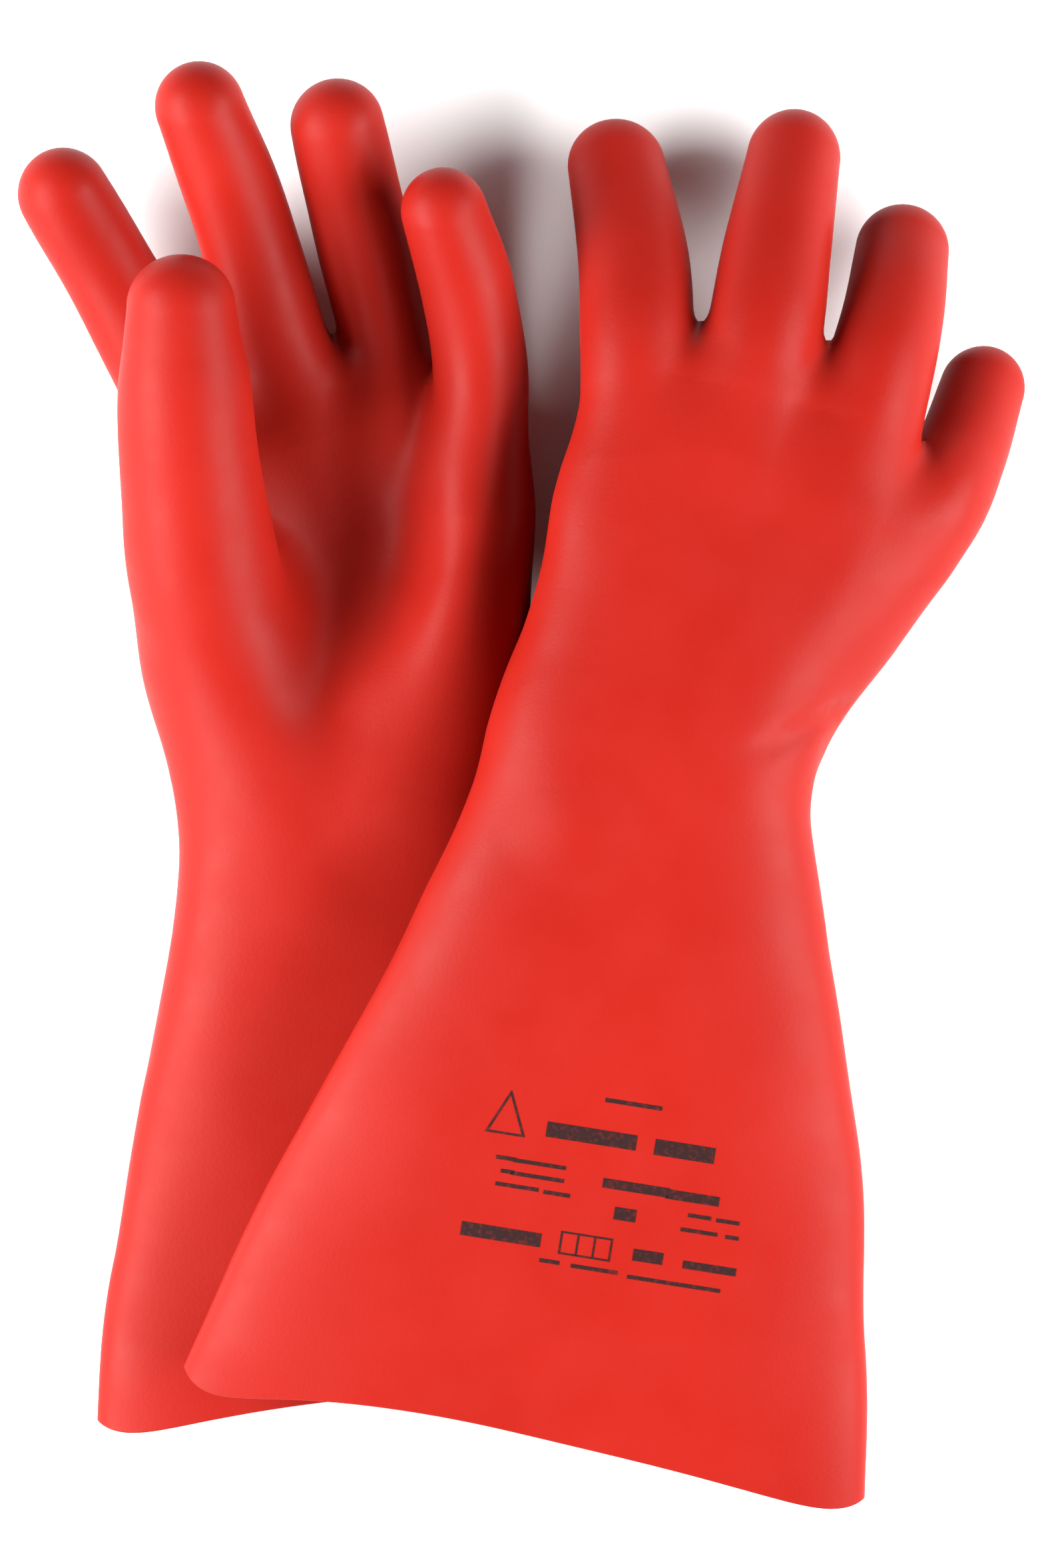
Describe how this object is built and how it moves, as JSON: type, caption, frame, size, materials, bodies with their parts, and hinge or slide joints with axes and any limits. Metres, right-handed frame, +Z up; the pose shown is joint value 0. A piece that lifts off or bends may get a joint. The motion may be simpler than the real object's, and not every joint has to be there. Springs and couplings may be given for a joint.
{
  "type": "electrical insulating gloves",
  "caption": "Pair of long flared insulating rubber gauntlets, seamless with cut rims, lying crossed: the left palm up, the right palm down with its cuff on the left one's cuff",
  "frame": {"origin": "middle of the pair's bounding box, on the surface it lies on", "axes": "+Y from the cuffs towards the fingertips, +X from the left glove towards the right glove, +Z up"},
  "size_m": [0.3007, 0.4356, 0.0896],
  "materials": {
    "rubber": "satin"
  },
  "bodies": {
    "left_cuff": {"left_cuff": "rubber"},
    "left_hand": {"left_hand": "rubber"},
    "left_thumb": {"left_thumb": "rubber"},
    "left_index_finger": {"left_index_finger": "rubber"},
    "left_middle_finger": {"left_middle_finger": "rubber"},
    "left_ring_finger": {"left_ring_finger": "rubber"},
    "left_little_finger": {"left_little_finger": "rubber"},
    "right_cuff": {"right_cuff": "rubber"},
    "right_hand": {"right_hand": "rubber"},
    "right_thumb": {"right_thumb": "rubber"},
    "right_index_finger": {"right_index_finger": "rubber"},
    "right_middle_finger": {"right_middle_finger": "rubber"},
    "right_ring_finger": {"right_ring_finger": "rubber"},
    "right_little_finger": {"right_little_finger": "rubber"}
  },
  "joints": [
    {"name": "left_wrist_bend", "type": "hinge", "parent": "left_cuff", "child": "left_hand", "pos_m": [-0.055, 0.004, 0.025], "axis": [-0.001, 0.0091, 1], "range_deg": [0, 8], "stiffness_Nm_per_rad": 2.5},
    {"name": "left_thumb_bend", "type": "hinge", "parent": "left_hand", "child": "left_thumb", "pos_m": [-0.09857, 0.09267, 0.05975], "axis": [-0.0351, 0.3399, -0.9398], "range_deg": [-10, 20], "stiffness_Nm_per_rad": 0.3},
    {"name": "left_index_finger_bend", "type": "hinge", "parent": "left_hand", "child": "left_index_finger", "pos_m": [-0.11587, 0.13892, 0.02368], "axis": [0.8789, 0.4655, 0.1046], "range_deg": [-12, 12], "stiffness_Nm_per_rad": 0.3},
    {"name": "left_middle_finger_bend", "type": "hinge", "parent": "left_hand", "child": "left_middle_finger", "pos_m": [-0.07659, 0.14381, 0.02582], "axis": [0.9581, 0.2748, 0.0814], "range_deg": [-15, 15], "stiffness_Nm_per_rad": 0.3},
    {"name": "left_ring_finger_bend", "type": "hinge", "parent": "left_hand", "child": "left_ring_finger", "pos_m": [-0.0427, 0.1422, 0.0226], "axis": [0.9842, 0.1725, 0.0406], "range_deg": [-15, 15], "stiffness_Nm_per_rad": 0.3},
    {"name": "left_little_finger_bend", "type": "hinge", "parent": "left_hand", "child": "left_little_finger", "pos_m": [-0.01063, 0.12104, 0.03304], "axis": [0.9986, 0.0498, 0.0178], "range_deg": [-8, 50], "stiffness_Nm_per_rad": 0.3},
    {"name": "right_wrist_bend", "type": "hinge", "parent": "right_cuff", "child": "right_hand", "pos_m": [0.0385, 0.004, 0.063], "axis": [0.9723, -0.2334, 0.0111], "range_deg": [0, 15], "stiffness_Nm_per_rad": 2.5},
    {"name": "right_thumb_bend", "type": "hinge", "parent": "right_hand", "child": "right_thumb", "pos_m": [0.027, 0.07, 0.0205], "axis": [-0.0699, -0.2795, -0.9576], "range_deg": [-10, 10], "stiffness_Nm_per_rad": 0.3},
    {"name": "right_index_finger_bend", "type": "hinge", "parent": "right_hand", "child": "right_index_finger", "pos_m": [0.03452, 0.13941, 0.04958], "axis": [-0.9998, -0.0164, 0.0077], "range_deg": [-25, 6], "stiffness_Nm_per_rad": 0.3},
    {"name": "right_middle_finger_bend", "type": "hinge", "parent": "right_hand", "child": "right_middle_finger", "pos_m": [0.07334, 0.14072, 0.0522], "axis": [-0.9865, 0.1528, -0.0591], "range_deg": [-25, 6], "stiffness_Nm_per_rad": 0.3},
    {"name": "right_ring_finger_bend", "type": "hinge", "parent": "right_hand", "child": "right_ring_finger", "pos_m": [0.10793, 0.12516, 0.05038], "axis": [-0.9708, 0.2198, -0.096], "range_deg": [-17, 6], "stiffness_Nm_per_rad": 0.3},
    {"name": "right_little_finger_bend", "type": "hinge", "parent": "right_hand", "child": "right_little_finger", "pos_m": [0.12518, 0.0856, 0.04834], "axis": [-0.8979, 0.3966, -0.1909], "range_deg": [-13, 6], "stiffness_Nm_per_rad": 0.3},
    {"name": "right_glove_lift", "type": "slide", "parent": "left_cuff", "child": "right_cuff", "axis": [0, 0, 1], "range_m": [0, 0.15]}
  ]
}
